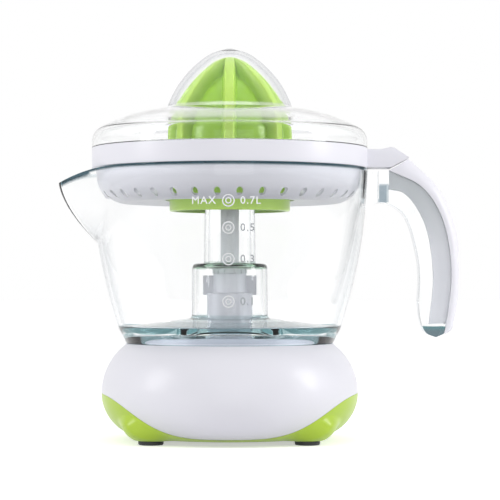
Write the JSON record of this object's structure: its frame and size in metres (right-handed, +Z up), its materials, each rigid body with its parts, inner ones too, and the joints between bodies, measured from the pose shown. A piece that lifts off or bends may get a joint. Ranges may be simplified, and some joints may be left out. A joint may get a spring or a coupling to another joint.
{
  "type": "citrus press juicer",
  "caption": "Electric citrus press: motor base on rubber feet, clear jug with spout and handle, slotted strainer, ribbed cone on a press-to-start spindle, clear domed dust cover.",
  "frame": {"origin": "on the table under the middle of the bounding box; the spindle axis stands 14.85 mm to the spout side of it", "axes": "+X towards the handle, the spout is at -X, +Y to the back where the cord inlet is, +Z up along the spindle"},
  "size_m": [0.206, 0.1424, 0.2013],
  "materials": {
    "white_plastic": "glossy white ABS",
    "green_plastic": "glossy leaf green ABS",
    "green_cone": "satin leaf green PP",
    "clear_plastic": "clear SAN",
    "rubber": "dark grey rubber",
    "steel": "zinc plated steel",
    "spindle_grey": "light grey POM",
    "pom_white": "natural POM",
    "bronze": "sintered bronze",
    "black_plastic": "black PBT",
    "ferrite": "ferrite and laminated iron"
  },
  "bodies": {
    "base": {"base_housing": "white_plastic", "base_tray": "green_plastic", "rubber_feet": "rubber", "tray_screws": "steel", "cord_gland": "rubber", "gearbox_plate": "steel", "plate_screws": "steel", "motor_can": "steel", "motor_magnets": "ferrite", "motor_end_cap": "black_plastic", "motor_screws": "steel", "idler_axle": "steel", "axle_clip": "steel", "upper_bush": "bronze", "lower_bush": "bronze", "thrust_washer": "steel", "spindle_seal": "rubber", "seal_retainer": "spindle_grey", "switch_body": "black_plastic", "return_spring": "steel"},
    "press": {"thrust_cup": "pom_white", "switch_plunger": "white_plastic"},
    "drive": {"spindle": "spindle_grey", "output_gear": "pom_white"},
    "idler": {"idler_gear": "pom_white"},
    "rotor": {"motor_rotor": "ferrite", "motor_shaft": "steel", "motor_pinion": "bronze"},
    "cone": {"juicing_cone": "green_cone"},
    "pitcher": {"jug": "clear_plastic", "handle_cover": "white_plastic"},
    "sieve": {"strainer": "white_plastic"},
    "lid": {"dust_cover": "clear_plastic"}
  },
  "joints": [
    {"name": "jug_lift", "type": "slide", "parent": "base", "child": "pitcher", "axis": [0, 0, 1], "range_m": [0, 0.13]},
    {"name": "strainer_lift", "type": "slide", "parent": "pitcher", "child": "sieve", "axis": [0, 0, 1], "range_m": [0, 0.09]},
    {"name": "cover_lift", "type": "slide", "parent": "sieve", "child": "lid", "axis": [0, 0, 1], "range_m": [0, 0.06]},
    {"name": "cone_press", "type": "slide", "parent": "base", "child": "press", "axis": [0, 0, -1], "range_m": [0, 0.0025], "stiffness_N_per_m": 2000, "springref_m": -0.004, "deforming": ["return_spring"]},
    {"name": "spindle_spin", "type": "hinge", "parent": "press", "child": "drive", "pos_m": [-0.01485, 0, 0.1], "axis": [0, 0, 1], "continuous": true},
    {"name": "cone_lift", "type": "slide", "parent": "drive", "child": "cone", "axis": [0, 0, 1], "range_m": [0, 0.13]},
    {"name": "idler_spin", "type": "hinge", "parent": "base", "child": "idler", "pos_m": [0.00275, 0.01914, 0.04], "axis": [0, 0, 1], "continuous": true},
    {"name": "motor_spin", "type": "hinge", "parent": "base", "child": "rotor", "pos_m": [-0.01485, 0.033, 0.03], "axis": [0, 0, 1], "continuous": true}
  ],
  "couplings": [
    {"joint": "idler_spin", "follows": "spindle_spin", "ratio": -3.3333},
    {"joint": "motor_spin", "follows": "spindle_spin", "ratio": 12.222},
    {"joint": "cone_lift", "follows": "jug_lift", "ratio": 1}
  ]
}
